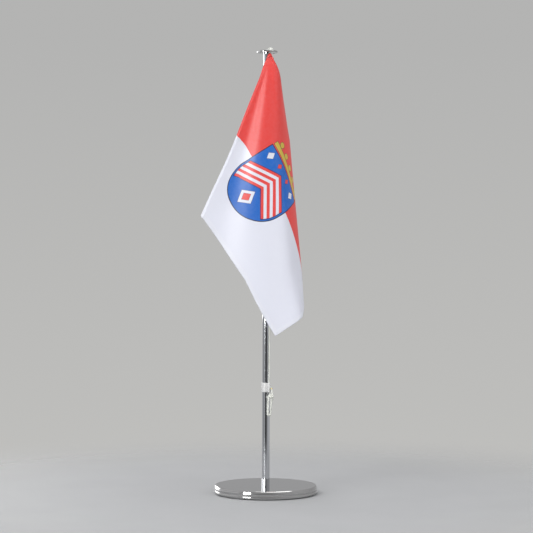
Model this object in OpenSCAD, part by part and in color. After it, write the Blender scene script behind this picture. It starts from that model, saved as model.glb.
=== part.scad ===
// Desk flag stand: a chromed disc base, a slim pole, a drilled disc at its head,
// and a satin table flag hung by one corner on a cord that runs down the pole.
// Millimetres, +Z up, origin at the centre of the underside, -Y is the front.

/* [Base] */
// Diameter of the base disc
base_d = 107; // [95:1:120]
// Height of the base over the table, pad included
base_h = 9; // [9:0.5:12]
// How far the foam pad stands proud of the disc
pad_proud = 0.6; // [0.4:0.1:1]

/* [Pole] */
// Outer diameter of the pole tube
pole_d = 8; // [7.8:0.1:8.2]
// Wall of the pole tube
pole_wall = 0.8; // [0.6:0.1:1]
// Height of the top face of the head disc over the table
stand_h = 458.3; // [430:0.1:480]

/* [Head disc] */
// Diameter of the head disc
plate_d = 21.5; // [20:0.5:26]
// Thickness of the head disc
plate_t = 2.1; // [2:0.1:3]
// Diameter of each cord hole
cord_hole_d = 2.2; // [2:0.1:2.4]

/* [Cord] */
// Diameter of the cord
cord_d = 1.5; // [1.3:0.1:1.6]
// Height of the sleeve ring's lower face over the table
ring_z = 105; // [105:0.1:160]
// Height of the sleeve ring
ring_h = 10; // [6:0.5:12]
// Height of the hank's lowest point over the table
hank_z = 80; // [70:1:80]

/* [Flag] */
// Length of the flag's hoist edge
hoist = 150; // [140:1:155]
// Length of the flag's fly
fly = 250; // [240:1:260]
// Thickness of the cloth's solid
cloth_t = 0.6; // [0.4:0.1:0.8]

/* [Hidden] */
$fn = 96;
eps = 0.01;

// Base
base_r = base_d / 2;
disc_z = pad_proud;                 // underside of the metal disc
pad_recess = 0.6;
pad_t = pad_proud + pad_recess;
pad_r = base_r - 3.5;
pad_play = 0.2;
groove_z = 4;                       // the turned line round the rim
groove_w = 0.5;
rim_edge_r = 1.6;                   // round of the top edge
rim_bulge = 0.5;                    // how far each band of the rim swells
rim_edge_w = 0.8;                   // chamfer of the bottom edge, across and up
rim_edge_h = 0.6;
groove_deep = 0.35;
groove_slope = 0.1;
seat_depth = 1.2;                   // the pole's seat in the top face
seat_z = base_h - seat_depth;
seat_play = 0.06;

// Foot fastening: M5 button-head screw, flat washer and spring washer
web_z = 6.4;                        // roof of the counterbore
counterbore_r = 6;
m5_r = 2.5;
web_hole_r = m5_r + 0.08;
washer_t = 1;
washer_r = 5;
spring_t = 1.1;
spring_r = 4.6;
spring_hole_r = 2.55;
spring_gap = 0.9;
foot_head_r = 4.75;
foot_head_h = 2.75;
foot_head_z = web_z - washer_t - spring_t - foot_head_h;
foot_key = 3;                       // hexagon socket, across flats
foot_screw_len = 18;
insert_len = 20;

// Pole and head
pole_r = pole_d / 2;
bore_r = pole_r - pole_wall;
plate_z = stand_h - plate_t;
plate_r = plate_d / 2;
plate_edge_r = 0.7;
head_insert_len = 15;
m3_r = 1.5;
csk_r = 3;
csk_h = 1.6;
head_screw_len = 12;
hole_xy = [2.8, -6.8];              // the cord hole in use
knot_r = 2.1;
knot_h = 2.4;
knot_round_r = 0.9;

// Cord: a vertical run beside the pole, then the hank
cord_r = cord_d / 2;
run_xy = [3.2, -3.8];
ring_bore_r = pole_r + 0.08;
ring_wall = 0.8;
cord_play = 0.2;
cord_sides = 8;
cord_step = 5;
route = [
    [2.8, -6.8, 459], [2.8, -6.8, 430], [2.8, -6.8, 400], [2.8, -6.8, 370],
    [2.8, -6.8, 340], [2.8, -6.8, 310], [2.8, -6.8, 300], [2.8, -6.6, 290],
    [2.9, -6.0, 278], [3.0, -5.1, 268], [3.1, -4.3, 258], [3.2, -3.8, 246],
    [3.2, -3.8, 220], [3.2, -3.8, 190], [3.2, -3.8, 160], [3.2, -3.8, 130],
    [3.2, -3.8, 106], [3.2, -4.1, 100], [3.2, -5.0, 95], [3.2, -6.0, 91]
];
hank_c = [4, -8.4];                 // middle of the hank, seen from above
hank_w = 7.4;
hank_deep = 7.6;
hank_top = ring_z - 1;
bead_xy = [5.6, -5.9];
bead_r = 0.95;
bead_z = hank_top + 4.7;

// Flag: a flat sheet carried into folds. A point of the cloth is named by its
// distance r from the upper hoist corner and by its angle from the hoist edge.
corner = [hole_xy[0], hole_xy[1], 454.4];
sleeve_r = 1.5;
sleeve_bore_r = cord_r + 0.2;
left_fold = 34.6;                   // angle of the left fold on the flat sheet
turn = 57.8;                        // flat angle that hangs straight down
roll_lean = 5.5;                    // the right-hand roll leans this far from the vertical
roll_start = 1.7;                   // where the roll begins, right of the corner
roll = [[15.7, 10], [40, 70], [60, 20]];   // length and radius of each arc of the roll
front_gap = 5;                      // the front layer hangs this far before the hoist
gap_grows = 12;
pole_pass = 9;                      // length of cloth that passes flat before the pole
pass_share = 0.8;                   // near the corner, the share of the layer that stays flat
r_first = 10;
r_steps = 20;
hoist_strips = 12;                  // strips of cloth in the hoist layer
fold_strips = 5;                    // in the left fold
front_strips = 6;                   // in the front layer, as far as the lower fly corner
roll_angles = concat([62, 64, 66, 68, 70], [for (i = [1 : 8]) 70 + i * 2.5]);
fold_starts = 0.92;                 // share of the left fold's angle at which it starts to turn
front_from = left_fold + 2;
fly_angle = atan2(fly, hoist);      // flat angle of the lower fly corner

// A list's item, with its first and last items repeated beyond its ends
function at(p, i) = p[min(max(i, 0), len(p) - 1)];

// Part t of the stretch from item i to the next, on a Catmull-Rom curve
function spline(p, i, t) = 0.5 * (
    2 * at(p, i) + (at(p, i + 1) - at(p, i - 1)) * t
    + (2 * at(p, i - 1) - 5 * at(p, i) + 4 * at(p, i + 1) - at(p, i + 2)) * t * t
    + (3 * at(p, i) - at(p, i - 1) - 3 * at(p, i + 1) + at(p, i + 2)) * t * t * t);

// The whole curve through a list, in stretches no longer than step
function fine(p, step) = concat(
    [for (i = [0 : len(p) - 2])
        let (n = ceil(norm(p[i + 1] - p[i]) / step))
        for (k = [0 : n - 1]) spline(p, i, k / n)],
    [p[len(p) - 1]]);

// A closed tube along a list of points that all run mostly downwards
module tube_along(points, r, sides) {
    n = len(points);
    function heading(i) =
        let (d = at(points, i + 1) - at(points, i - 1)) d / norm(d);
    function ring(i) =
        let (d = heading(i), a = cross([0, 1, 0], d), u = a / norm(a), v = cross(d, u))
        [for (k = [0 : sides - 1])
            points[i] + r * (cos(k * 360 / sides) * u + sin(k * 360 / sides) * v)];
    skin = [for (i = [0 : n - 1]) each ring(i)];
    walls = [for (i = [0 : n - 2]) for (k = [0 : sides - 1])
        [i * sides + k, i * sides + (k + 1) % sides,
         (i + 1) * sides + (k + 1) % sides, (i + 1) * sides + k]];
    ends = [[for (k = [sides - 1 : -1 : 0]) k],
            [for (k = [0 : sides - 1]) (n - 1) * sides + k]];
    polyhedron(skin, concat(walls, ends));
}

// Where a sheet is after q millimetres of a path made of arcs: [across, behind]
function arcs(q, k = 0, x = 0, y = 0, a = 0) =
    let (s = min(q, roll[k][0]), r = roll[k][1], b = a + s / r * 180 / PI)
    let (x2 = x + r * (sin(b) - sin(a)), y2 = y + r * (cos(a) - cos(b)))
    q <= roll[k][0] || k == len(roll) - 1 ? [x2, y2] : arcs(q - s, k + 1, x2, y2, b);

function gap(r) = front_gap * (1 - exp(-r / gap_grows));

// The hoist layer: it passes before the pole, then swells backwards to the left fold
function hoist_layer(r, part) =
    let (fold_arc = PI * gap(r) / 4,
         long = r * left_fold * PI / 180 - fold_arc,
         wide = r * sin(turn - left_fold) - gap(r) / 2,
         pass = min(pole_pass, pass_share * wide),
         w = sleeve_r + part * (long - sleeve_r),
         f = max(0, (w - pass) / (long - pass)),
         across = wide - pass,
         deep = 0.64 * across * sqrt(max(0, (long - pass) / across - 1)))
    [w < pass ? -w : -pass - across * f, deep * pow(sin(180 * f), 2)];

// The left fold, half a turn from the hoist layer's end to the front layer
function fold_layer(r, part) =
    let (wide = r * sin(turn - left_fold) - gap(r) / 2)
    [-wide - gap(r) / 2 * sin(180 * part), -gap(r) / 2 * (1 - cos(180 * part))];

// The front layer and the roll, for an angle on the flat sheet
function front_layer(r, angle) =
    let (lean = angle - turn - roll_lean,
         n = r * sin(lean), t = r * cos(lean),
         q = max(0, n - roll_start), bend = arcs(q),
         across = min(n, roll_start) + bend[0])
    [across * cos(roll_lean) + t * sin(roll_lean), bend[1] - gap(r)];

function height(r, xy) = -sqrt(max(0, r * r - xy[0] * xy[0] - xy[1] * xy[1]));

// Height on the roll, whose lines all lean the same way
function roll_height(r, angle) =
    let (lean = angle - turn - roll_lean,
         n = r * sin(lean), t = r * cos(lean),
         across = min(n, roll_start) + arcs(max(0, n - roll_start))[0])
    -(t * cos(roll_lean) - across * sin(roll_lean));

// Flat angle of column number c, which gives the reach of the cloth in that direction
fold_end = hoist_strips + fold_strips;
front_end = fold_end + front_strips;
columns = front_end + 1 + len(roll_angles);
function column_angle(c) =
    c <= hoist_strips ? left_fold * fold_starts * c / hoist_strips
    : c <= fold_end
        ? left_fold * min(1, fold_starts + 2 * (1 - fold_starts) * (c - hoist_strips) / fold_strips)
    : c <= front_end ? front_from + (fly_angle - front_from) * (c - fold_end) / front_strips
    : roll_angles[c - front_end - 1];
function reach(angle) = min(hoist / cos(angle), angle > 5 ? fly / sin(angle) : 2 * fly);

function cloth_point(c, k) =
    let (angle = column_angle(c),
         r = r_first + (reach(angle) - r_first) * pow(k / r_steps, 1.15))
    c <= hoist_strips
        ? let (xy = hoist_layer(r, c / hoist_strips)) corner + [xy[0], xy[1], height(r, xy)]
    : c <= fold_end
        ? let (xy = fold_layer(r, (c - hoist_strips) / fold_strips))
            corner + [xy[0], xy[1], height(r, xy)]
    : let (xy = front_layer(r, angle)) corner + [xy[0], xy[1], roll_height(r, angle)];

function cloth_normal(c, k) =
    let (across = cloth_point(min(c + 1, columns - 1), k) - cloth_point(max(c - 1, 0), k),
         down = cloth_point(c, min(k + 1, r_steps)) - cloth_point(c, max(k - 1, 0)),
         n = cross(across, down))
    n / norm(n);

module base_disc() {
    rim = base_r - rim_bulge;
    color([0.80, 0.80, 0.82])
    difference() {
        rotate_extrude($fn = 180)
            polygon(concat(
                [[0, disc_z], [rim - rim_edge_w, disc_z]],
                [for (i = [0 : 8]) let (f = i / 8)
                    [rim + rim_bulge * sin(180 * f),
                     disc_z + rim_edge_h + (groove_z - disc_z - rim_edge_h) * f]],
                [[rim - groove_deep, groove_z + groove_slope],
                 [rim - groove_deep, groove_z + groove_w - groove_slope]],
                [for (i = [0 : 8]) let (f = i / 8)
                    [rim + rim_bulge * sin(180 * f),
                     groove_z + groove_w + (base_h - rim_edge_r - groove_z - groove_w) * f]],
                [for (i = [1 : 7])
                    [rim - rim_edge_r * (1 - cos(i * 90 / 7)),
                     base_h - rim_edge_r * (1 - sin(i * 90 / 7))]],
                [[0, base_h]]
            ));
        translate([0, 0, disc_z - 1]) cylinder(h = pad_recess + 1, r = pad_r + pad_play, $fn = 180);
        translate([0, 0, disc_z]) cylinder(h = web_z - disc_z, r = counterbore_r);
        translate([0, 0, disc_z]) cylinder(h = base_h, r = web_hole_r);
        translate([0, 0, seat_z]) cylinder(h = seat_depth + 1, r = pole_r + seat_play);
    }
}

module base_pad() {
    color([0.12, 0.12, 0.13]) cylinder(h = pad_t, r = pad_r, $fn = 180);
}

module foot_washer() {
    color([0.72, 0.72, 0.70])
    translate([0, 0, web_z - washer_t])
    difference() {
        cylinder(h = washer_t, r = washer_r);
        translate([0, 0, -1]) cylinder(h = washer_t + 2, r = m5_r + 0.15);
    }
}

module spring_washer() {
    color([0.45, 0.45, 0.47])
    translate([0, 0, web_z - washer_t - spring_t])
    difference() {
        cylinder(h = spring_t, r = spring_r);
        translate([0, 0, -1]) cylinder(h = spring_t + 2, r = spring_hole_r);
        rotate(200) translate([spring_hole_r - 1, -spring_gap / 2, -1])
            cube([spring_r, spring_gap, spring_t + 2]);
    }
}

module foot_screw() {
    head_round = 1.2;
    color([0.50, 0.50, 0.52])
    difference() {
        translate([0, 0, foot_head_z]) rotate_extrude()
            polygon(concat(
                [[0, 0]],
                [for (i = [0 : 6])
                    [foot_head_r - head_round * 2 + head_round * 2 * sin(i * 15),
                     foot_head_h * 0.8 * (1 - cos(i * 15))]],
                [[foot_head_r, foot_head_h], [m5_r, foot_head_h],
                 [m5_r, foot_head_h + foot_screw_len - 0.6],
                 [m5_r - 0.6, foot_head_h + foot_screw_len],
                 [0, foot_head_h + foot_screw_len]]
            ));
        translate([0, 0, foot_head_z - 1])
            cylinder(h = 1 + foot_head_h * 0.65, d = foot_key / cos(30), $fn = 6);
    }
}

module insert(bottom, long, hole_r) {
    lead = 0.5;
    translate([0, 0, bottom]) rotate_extrude()
        polygon([[hole_r, 0], [bore_r, 0], [bore_r, long - lead],
                 [bore_r - lead, long], [hole_r, long]]);
}

module foot_insert() {
    color([0.78, 0.66, 0.36]) insert(seat_z, insert_len, m5_r);
}

module pole_tube() {
    color([0.82, 0.82, 0.84])
    translate([0, 0, seat_z])
    difference() {
        cylinder(h = plate_z - seat_z, r = pole_r);
        translate([0, 0, -1]) cylinder(h = plate_z - seat_z + 2, r = bore_r);
    }
}

module head_insert() {
    color([0.78, 0.66, 0.36])
    translate([0, 0, plate_z]) mirror([0, 0, 1]) insert(0, head_insert_len, m3_r);
}

module head_disc() {
    color([0.82, 0.82, 0.84])
    difference() {
        translate([0, 0, plate_z]) rotate_extrude()
            polygon(concat(
                [[0, 0]],
                [for (i = [0 : 6])
                    [plate_r - plate_edge_r * (1 - sin(i * 15)), plate_edge_r * (1 - cos(i * 15))]],
                [for (i = [0 : 6])
                    [plate_r - plate_edge_r * (1 - cos(i * 15)),
                     plate_t - plate_edge_r * (1 - sin(i * 15))]],
                [[0, plate_t]]
            ));
        for (a = [0 : 90 : 270])
            rotate(a) translate([hole_xy[0], hole_xy[1], plate_z - 1])
                cylinder(h = plate_t + 2, d = cord_hole_d, $fn = 48);
        translate([0, 0, plate_z - 1]) cylinder(h = plate_t + 2, r = m3_r);
        translate([0, 0, stand_h - csk_h]) cylinder(h = csk_h + eps, r1 = m3_r, r2 = csk_r + eps);
    }
}

module head_screw() {
    slot_w = 0.8;
    color([0.75, 0.75, 0.77])
    difference() {
        translate([0, 0, stand_h - head_screw_len]) rotate_extrude()
            polygon([[0, 0], [m3_r - 0.4, 0], [m3_r, 0.4], [m3_r, head_screw_len - csk_h],
                     [csk_r, head_screw_len], [0, head_screw_len]]);
        translate([-csk_r - 1, -slot_w / 2, stand_h - 0.8]) cube([2 * csk_r + 2, slot_w, 2]);
    }
}

module top_knot() {
    color([0.93, 0.93, 0.92])
    translate([hole_xy[0] + 0.5, hole_xy[1], stand_h]) rotate_extrude()
        polygon(concat(
            [[0, 0], [knot_r - 0.3, 0]],
            [for (i = [0 : 6])
                [knot_r - knot_round_r * (1 - cos(i * 15)),
                 knot_h - knot_round_r * (1.6 - 1.6 * sin(i * 15))]],
            [[0, knot_h]]
        ));
}

module flag_cord() {
    color([0.93, 0.93, 0.91]) tube_along(fine(route, cord_step), cord_r, cord_sides);
}

module cord_ring() {
    color([0.95, 0.95, 0.94])
    translate([0, 0, ring_z]) linear_extrude(ring_h)
    difference() {
        union() {
            circle(r = ring_bore_r + ring_wall);
            translate(run_xy) circle(r = cord_r + cord_play + ring_wall, $fn = 48);
        }
        circle(r = ring_bore_r);
        translate(run_xy) circle(r = cord_r + cord_play, $fn = 48);
    }
}

// The hank: an upright outline with round ends, extruded from back to front
module cord_hank() {
    half = hank_w / 2;
    color([0.90, 0.91, 0.88])
    translate([hank_c[0], hank_c[1] + hank_deep / 2, 0]) rotate([90, 0, 0])
    linear_extrude(hank_deep)
    union() {
        translate([0, hank_z + half]) circle(r = half);
        translate([-half, hank_z + half]) square([hank_w, hank_top - hank_z - hank_w]);
        translate([0, hank_top - half]) circle(r = half);
    }
}

module cord_end_bead() {
    tail = bead_z - hank_top + 1.2;
    color([0.88, 0.85, 0.60])
    translate([bead_xy[0], bead_xy[1], bead_z]) rotate_extrude($fn = 48)
        polygon(concat(
            [[0, -tail], [cord_r, -tail]],
            [for (i = [0 : 8]) let (a = -38 + 128 * i / 8) [bead_r * cos(a), bead_r * sin(a)]]
        ));
}

module hoist_sleeve() {
    color([0.90, 0.30, 0.28])
    translate([hole_xy[0], hole_xy[1], corner[2] - hoist])
    difference() {
        cylinder(h = hoist - 0.4, r = sleeve_r, $fn = 48);
        translate([0, 0, -1]) cylinder(h = hoist + 2, r = sleeve_bore_r, $fn = 48);
    }
}

// The cloth: one closed shell, half its thickness on each side of the folded sheet
module flag_cloth() {
    rows = r_steps + 1;
    half = cloth_t / 2;
    count = columns * rows;
    function side(s) = [for (c = [0 : columns - 1]) for (k = [0 : r_steps])
        cloth_point(c, k) + s * half * cloth_normal(c, k)];
    function id(c, k, s) = s * count + c * rows + k;
    faces = concat(
        [for (c = [0 : columns - 2]) for (k = [0 : r_steps - 1]) each [
            [id(c, k, 0), id(c, k + 1, 0), id(c + 1, k, 0)],
            [id(c + 1, k, 0), id(c, k + 1, 0), id(c + 1, k + 1, 0)],
            [id(c, k, 1), id(c + 1, k, 1), id(c, k + 1, 1)],
            [id(c + 1, k, 1), id(c + 1, k + 1, 1), id(c, k + 1, 1)]]],
        [for (c = [0 : columns - 2]) each [
            [id(c, 0, 0), id(c + 1, 0, 0), id(c + 1, 0, 1), id(c, 0, 1)],
            [id(c + 1, r_steps, 0), id(c, r_steps, 0), id(c, r_steps, 1), id(c + 1, r_steps, 1)]]],
        [for (k = [0 : r_steps - 1]) each [
            [id(0, k + 1, 0), id(0, k, 0), id(0, k, 1), id(0, k + 1, 1)],
            [id(columns - 1, k, 0), id(columns - 1, k + 1, 0),
             id(columns - 1, k + 1, 1), id(columns - 1, k, 1)]]]
    );
    color([0.88, 0.30, 0.28]) polyhedron(concat(side(-1), side(1)), faces);
}

base_disc();
base_pad();
foot_washer();
spring_washer();
foot_screw();
foot_insert();
pole_tube();
head_insert();
head_disc();
head_screw();
top_knot();
flag_cord();
cord_ring();
cord_hank();
cord_end_bead();
hoist_sleeve();
flag_cloth();
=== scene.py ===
"""Looks for the desk flag stand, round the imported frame. Metres, +Z up, -Y to the front."""

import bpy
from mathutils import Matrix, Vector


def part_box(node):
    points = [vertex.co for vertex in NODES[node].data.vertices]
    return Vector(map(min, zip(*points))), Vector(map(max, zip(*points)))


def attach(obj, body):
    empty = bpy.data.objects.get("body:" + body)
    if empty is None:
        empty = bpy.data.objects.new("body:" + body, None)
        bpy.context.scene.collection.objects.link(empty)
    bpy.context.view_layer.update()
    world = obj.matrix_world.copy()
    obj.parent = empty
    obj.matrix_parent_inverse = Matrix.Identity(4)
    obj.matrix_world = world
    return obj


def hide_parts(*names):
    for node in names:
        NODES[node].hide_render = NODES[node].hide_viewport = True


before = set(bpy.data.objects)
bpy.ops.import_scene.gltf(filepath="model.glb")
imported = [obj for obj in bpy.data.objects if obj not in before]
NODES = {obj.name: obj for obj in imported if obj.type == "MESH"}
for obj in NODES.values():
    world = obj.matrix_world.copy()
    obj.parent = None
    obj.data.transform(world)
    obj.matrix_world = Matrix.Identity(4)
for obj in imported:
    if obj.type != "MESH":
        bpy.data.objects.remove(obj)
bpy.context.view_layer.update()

import math

import bpy
import numpy as np

# the cord's and the cloth's shapes are worked out in millimetres, and become metres in their meshes
MM = 0.001


# ---------------------------------------------------------------- camera

CAMERA_DISTANCE = 1.648
CAMERA_HEIGHT = 0.235
CAMERA_ROLL = math.radians(-0.21)

camera = bpy.data.objects.new("camera", bpy.data.cameras.new("camera"))
bpy.context.scene.collection.objects.link(camera)
camera.location = (0, -CAMERA_DISTANCE, CAMERA_HEIGHT)
camera.rotation_euler = (math.pi / 2, CAMERA_ROLL, 0)
camera.data.sensor_width = 36
camera.data.lens = 107.4
camera.data.clip_end = 50
bpy.context.scene.camera = camera


# ---------------------------------------------------------------- mesh helpers

def mesh_object(name, points, faces, material=None, smooth=True):
    """A new mesh object from points in metres and faces as tuples of point numbers."""
    mesh = bpy.data.meshes.new(name)
    mesh.from_pydata([tuple(p) for p in points], [], [tuple(f) for f in faces])
    mesh.validate()
    mesh.polygons.foreach_set("use_smooth", [smooth] * len(mesh.polygons))
    mesh.update()
    made = bpy.data.objects.new(name, mesh)
    bpy.context.scene.collection.objects.link(made)
    if material:
        mesh.materials.append(material)
    return made


def grid_faces(rows, columns, wrap=False):
    """Quads over a grid of points numbered row by row. wrap joins the last column to the first."""
    faces = []
    for i in range(rows - 1):
        for j in range(columns if wrap else columns - 1):
            k = (j + 1) % columns
            here, below = i * columns, (i + 1) * columns
            faces.append((here + j, here + k, below + k, below + j))
    return faces


def along(points):
    """Distance along a line of points, from its first point."""
    return np.concatenate([[0], np.cumsum(np.linalg.norm(np.diff(points, axis=0), axis=1))])


def smooth_line(points, step):
    """A Catmull-Rom curve through the points, resampled at even steps."""
    p = np.asarray(points, float)
    ends = np.vstack([2 * p[0] - p[1], p, 2 * p[-1] - p[-2]])
    t = np.linspace(0, 1, 24, endpoint=False)[:, None]
    parts = []
    for a, b, c, d in zip(ends[:-3], ends[1:-2], ends[2:-1], ends[3:]):
        parts.append(0.5 * (2 * b + (c - a) * t + (2 * a - 5 * b + 4 * c - d) * t**2
                            + (3 * b - a - 3 * c + d) * t**3))
    line = np.vstack([*parts, p[-1:]])
    s = along(line)
    at = np.linspace(0, s[-1], max(2, math.ceil(s[-1] / step) + 1))
    return np.stack([np.interp(at, s, line[:, k]) for k in range(3)], axis=1)


def frames(line):
    """Two unit vectors across a line at each point, carried along it without twist."""
    ahead = np.gradient(line, axis=0)
    ahead /= np.linalg.norm(ahead, axis=1)[:, None]
    side = np.zeros_like(line)
    start = np.cross(ahead[0], [0.3, 1, 0.2])
    side[0] = start / np.linalg.norm(start)
    for i in range(1, len(line)):
        v = side[i - 1] - ahead[i] * (side[i - 1] @ ahead[i])
        side[i] = v / np.linalg.norm(v)
    return side, np.cross(ahead, side)


def tube_mesh(line, radius, sides):
    """Points and faces of a closed tube. radius(s, angle) is its radius, s along it."""
    side, up = frames(line)
    s = along(line)[:, None]
    angle = (np.arange(sides) * 2 * math.pi / sides)[None, :]
    r = radius(s, angle)[:, :, None]
    cosine, sine = np.cos(angle)[:, :, None], np.sin(angle)[:, :, None]
    skin = line[:, None] + r * (cosine * side[:, None] + sine * up[:, None])
    n = len(line)
    points = np.vstack([skin.reshape(-1, 3), line[:1], line[-1:]])
    faces = grid_faces(n, sides, wrap=True)
    for j in range(sides):
        k = (j + 1) % sides
        faces.append((k, j, n * sides))
        faces.append(((n - 1) * sides + j, (n - 1) * sides + k, n * sides + 1))
    return points, faces


# ---------------------------------------------------------------- shader helpers

class Value:
    """A number or socket in a node tree, with arithmetic that makes Math nodes."""

    def __init__(self, tree, source):
        self.tree = tree
        self.source = source

    def math(self, operation, *others, clamp=False):
        node = self.tree.nodes.new("ShaderNodeMath")
        node.operation = operation
        node.use_clamp = clamp
        for socket, value in zip(node.inputs, (self, *others)):
            put(self.tree, socket, value)
        return Value(self.tree, node.outputs[0])

    def __add__(self, other): return self.math("ADD", other)
    def __sub__(self, other): return self.math("SUBTRACT", other)
    def __mul__(self, other): return self.math("MULTIPLY", other)
    def __truediv__(self, other): return self.math("DIVIDE", other)
    def __abs__(self): return self.math("ABSOLUTE")
    def low(self, other): return self.math("MINIMUM", other)
    def high(self, other): return self.math("MAXIMUM", other)
    def root(self): return self.math("SQRT")
    def sine(self): return self.math("SINE")
    def wrap(self, size): return self.math("FLOORED_MODULO", size)

    def inside(self, soft=0.00012):
        """1 where the value is below zero, 0 above, with a soft step between."""
        return (self * (-0.5 / soft) + 0.5).math("ADD", 0.0, clamp=True)


def put(tree, socket, value):
    """Sets a socket to a number, a colour or another socket."""
    if isinstance(value, Value):
        value = value.source
    if isinstance(value, bpy.types.NodeSocket):
        tree.links.new(value, socket)
    else:
        socket.default_value = value


def node(tree, kind, inputs=None, **settings):
    """A new node with its settings, and its inputs by name or number."""
    made = tree.nodes.new(kind)
    for key, value in settings.items():
        setattr(made, key, value)
    for key, value in (inputs or {}).items():
        put(tree, made.inputs[key], value)
    return made


def mix(tree, factor, a, b):
    """The colour a where factor is 0 and b where it is 1."""
    made = node(tree, "ShaderNodeMix", data_type="RGBA")
    put(tree, made.inputs[0], factor)
    for socket, value in ((made.inputs[6], a), (made.inputs[7], b)):
        put(tree, socket, value if not isinstance(value, tuple) else (*value, 1)[:4])
    return made.outputs[2]


def coordinates(tree, vector):
    """X, Y and Z of a vector, as values to reckon with."""
    split = node(tree, "ShaderNodeSeparateXYZ", {0: vector})
    return [Value(tree, socket) for socket in split.outputs]


def noise(tree, where, scale, detail=3, rough=0.5):
    """Noise from 0 to 1 with so many spots in a metre."""
    made = node(tree, "ShaderNodeTexNoise",
                {"Vector": where, "Scale": scale, "Detail": detail, "Roughness": rough})
    return Value(tree, made.outputs["Fac"])


def remap(tree, value, low, high, to_low, to_high):
    """The value carried from one range to another, and held inside it."""
    made = node(tree, "ShaderNodeMapRange", {0: value, 1: low, 2: high, 3: to_low, 4: to_high})
    return made.outputs[0]


def bump(tree, height, distance, strength):
    """A normal for a skin as rough as the height says, its full height given in metres."""
    return node(tree, "ShaderNodeBump",
                {"Height": height, "Distance": distance, "Strength": strength}).outputs[0]


def material(name):
    """A new material: (material, tree, its Principled shader, position in metres)."""
    made = bpy.data.materials.new(name)
    made.use_nodes = True
    tree = made.node_tree
    shader = tree.nodes["Principled BSDF"]
    where = node(tree, "ShaderNodeNewGeometry").outputs["Position"]
    return made, tree, shader, where


def set_shader(tree, shader, **values):
    """Sets the shader's inputs to numbers, colours or sockets: Base_Color sets "Base Color"."""
    for key, value in values.items():
        put(tree, shader.inputs[key.replace("_", " ")], value)


# ---------------------------------------------------------------- materials

def object_position(tree):
    """The place on the piece itself, so that the grain goes with it when it moves."""
    return node(tree, "ShaderNodeTexCoord").outputs["Object"]


def chrome(name, tint, polish, haze, grain):
    """Chrome plate: mirror bright, with faint polishing haze, tiny scratches and finger marks."""
    made, tree, shader, _ = material(name)
    where = object_position(tree)
    smear = noise(tree, where, 38, 4, 0.6)
    dust = noise(tree, where, 900, 2, 0.5)
    dull = tuple(0.9 * c for c in tint)
    set_shader(tree, shader, Metallic=1.0,
               Roughness=remap(tree, smear, 0.35, 0.75, polish, polish + haze),
               Base_Color=mix(tree, remap(tree, dust, 0.62, 0.8, 0.0, 0.5), tint, dull),
               Normal=bump(tree, noise(tree, where, grain, 2, 0.5), 0.000002, 0.35))
    return made


def turned_metal(name, tint, rough, rings):
    """Turned or rolled metal with fine rings round Z."""
    made, tree, shader, _ = material(name)
    where = object_position(tree)
    x, y, z = coordinates(tree, where)
    radius = (x * x + y * y).root()
    lines = ((radius + z) * rings).sine()
    dull = tuple(0.72 * c for c in tint)
    wear = noise(tree, where, 500, 2)
    set_shader(tree, shader, Metallic=1.0,
               Base_Color=mix(tree, noise(tree, where, 260, 3, 0.6), tint, dull),
               Roughness=remap(tree, wear, 0.3, 0.7, rough, rough + 0.15),
               Normal=bump(tree, lines, 0.000015, 0.5))
    return made


def foam_material():
    """Black foam with fine open cells."""
    made, tree, shader, where = material("foam_pad")
    cells = node(tree, "ShaderNodeTexVoronoi", {"Vector": where, "Scale": 1400}).outputs["Distance"]
    tone = mix(tree, noise(tree, where, 220, 3), (0.030, 0.030, 0.033), (0.065, 0.065, 0.068))
    set_shader(tree, shader, Base_Color=tone,
               Roughness=remap(tree, noise(tree, where, 300, 2), 0.3, 0.7, 0.82, 0.95),
               Normal=bump(tree, cells, 0.0002, 0.8))
    return made


def cord_material():
    """White polyester cord: soft and a little shiny, greyer in spots, with painted shade between
    its strands.
    """
    made, tree, shader, where = material("white_cord")
    fibre = noise(tree, where, 5200, 2, 0.6)
    stain = remap(tree, noise(tree, where, 90, 3, 0.5), 0.45, 0.75, 0.0, 1.0)
    plain = mix(tree, stain, (0.60, 0.61, 0.57), (0.53, 0.54, 0.475))
    painted_strand_shade = node(tree, "ShaderNodeAttribute", attribute_name="painted_strand_shade").outputs["Fac"]
    # painted shade: darker grey where the strands sink between each other
    tone = mix(tree, Value(tree, painted_strand_shade) * 0.45, plain, (0.38, 0.39, 0.35))
    set_shader(tree, shader, Sheen_Weight=0.35, Sheen_Roughness=0.4, Base_Color=tone,
               Roughness=remap(tree, fibre, 0.3, 0.7, 0.5, 0.72),
               Normal=bump(tree, fibre, 0.00006, 0.6))
    return made


def silicone_material():
    """White silicone rubber, a little see-through, with faint mottling."""
    made, tree, shader, where = material("white_silicone")
    mottle = noise(tree, where, 420, 3, 0.5)
    tone = mix(tree, mottle, (0.52, 0.52, 0.515), (0.475, 0.475, 0.475))
    set_shader(tree, shader, Subsurface_Weight=0.15, Subsurface_Scale=0.001,
               Subsurface_Radius=(1, 0.9, 0.85), Base_Color=tone,
               Roughness=remap(tree, mottle, 0.3, 0.7, 0.38, 0.52),
               Normal=bump(tree, noise(tree, where, 2400, 2), 0.00003, 0.5))
    return made


def melted_material():
    """Cord melted with a flame: hard, yellowed and browner in spots."""
    made, tree, shader, where = material("melted_end")
    scorch = noise(tree, where, 900, 3, 0.6)
    tone = mix(tree, remap(tree, scorch, 0.4, 0.7, 0, 1), (0.74, 0.70, 0.40), (0.52, 0.42, 0.16))
    set_shader(tree, shader, Subsurface_Weight=0.1, Subsurface_Scale=0.001, Base_Color=tone,
               Roughness=remap(tree, scorch, 0.3, 0.7, 0.3, 0.5),
               Normal=bump(tree, scorch, 0.0001, 0.6))
    return made


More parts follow.
